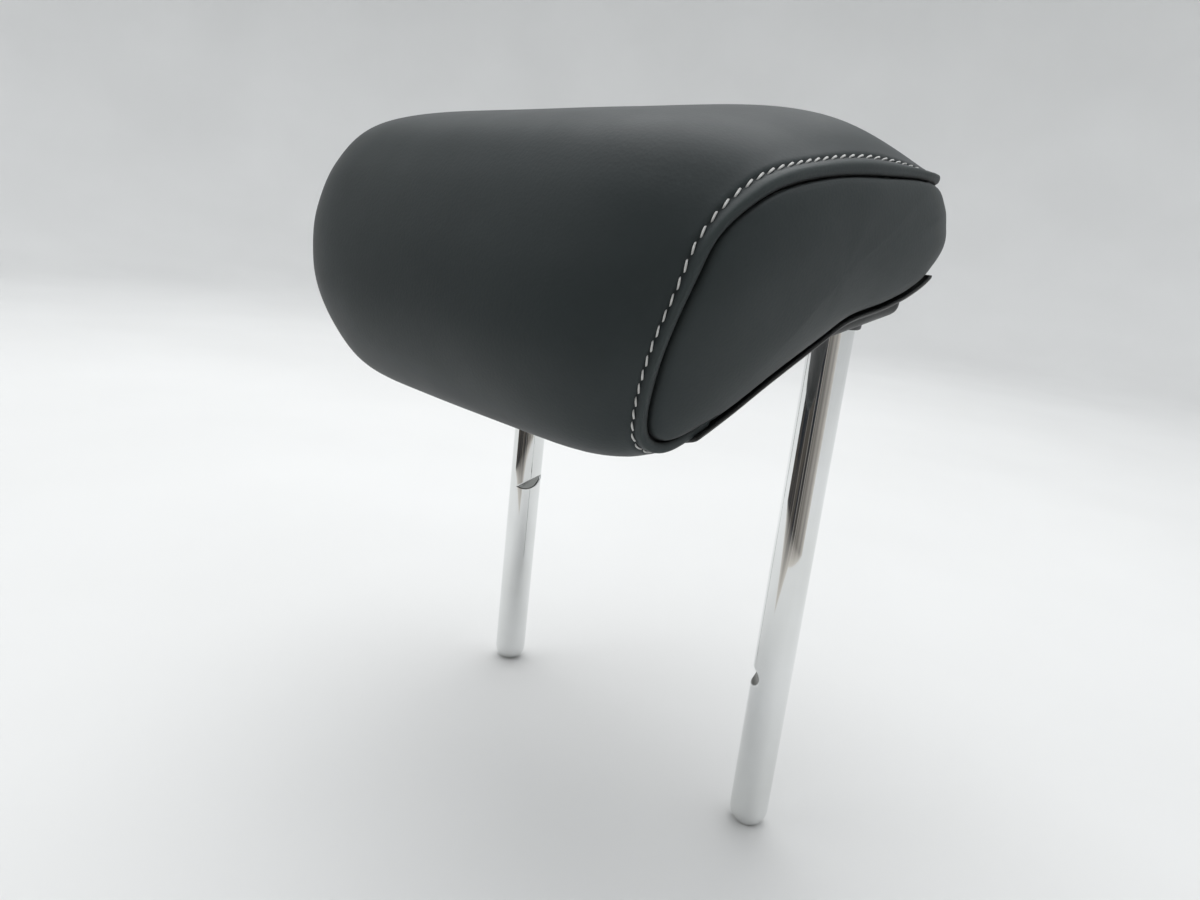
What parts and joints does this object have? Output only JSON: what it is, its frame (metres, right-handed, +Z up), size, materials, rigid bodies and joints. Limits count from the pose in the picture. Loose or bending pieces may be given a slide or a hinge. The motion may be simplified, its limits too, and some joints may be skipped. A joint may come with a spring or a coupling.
{
  "type": "head restraint",
  "caption": "Low comma-shaped head restraint: a leather-covered foam cushion with stitched side panels on a bent chromed steel stay with round posts and detent notches.",
  "frame": {"origin": "midway between the lower ends of the two posts, where the seat's guides hold the part", "axes": "+Z up along the posts, -Y towards the seat's front, where the cushion's face and lower lip are, +X across the cushion"},
  "size_m": [0.2016, 0.1552, 0.2489],
  "materials": {
    "chrome": "bright mirror plating",
    "leather": "fine-grained charcoal leather, satin",
    "thread": "pale grey twisted thread",
    "foam": "moulded polyurethane foam",
    "tape": "nonwoven seam tape",
    "core": "moulded polypropylene",
    "trim": "black moulded plastic, fine matt grain",
    "screw": "zinc-plated steel"
  },
  "bodies": {
    "root": {"steel_stay": "chrome", "core_upper_shell": "core", "core_lower_shell": "core", "core_screw_1": "screw", "core_screw_2": "screw", "core_screw_3": "screw", "core_screw_4": "screw", "foam_pad": "foam", "centre_cover": "leather", "rear_cover": "leather", "side_cover_left": "leather", "side_cover_right": "leather", "seam_tape_left": "tape", "seam_tape_right": "tape", "topstitch_left": "thread", "topstitch_right": "thread", "j_retainer_front": "trim", "j_retainer_rear": "trim", "j_retainer_left": "trim", "j_retainer_right": "trim", "lower_closeout": "trim", "closeout_screw_1": "screw", "closeout_screw_2": "screw", "closeout_screw_3": "screw", "post_bush_left": "trim", "post_bush_right": "trim"}
  },
  "joints": []
}
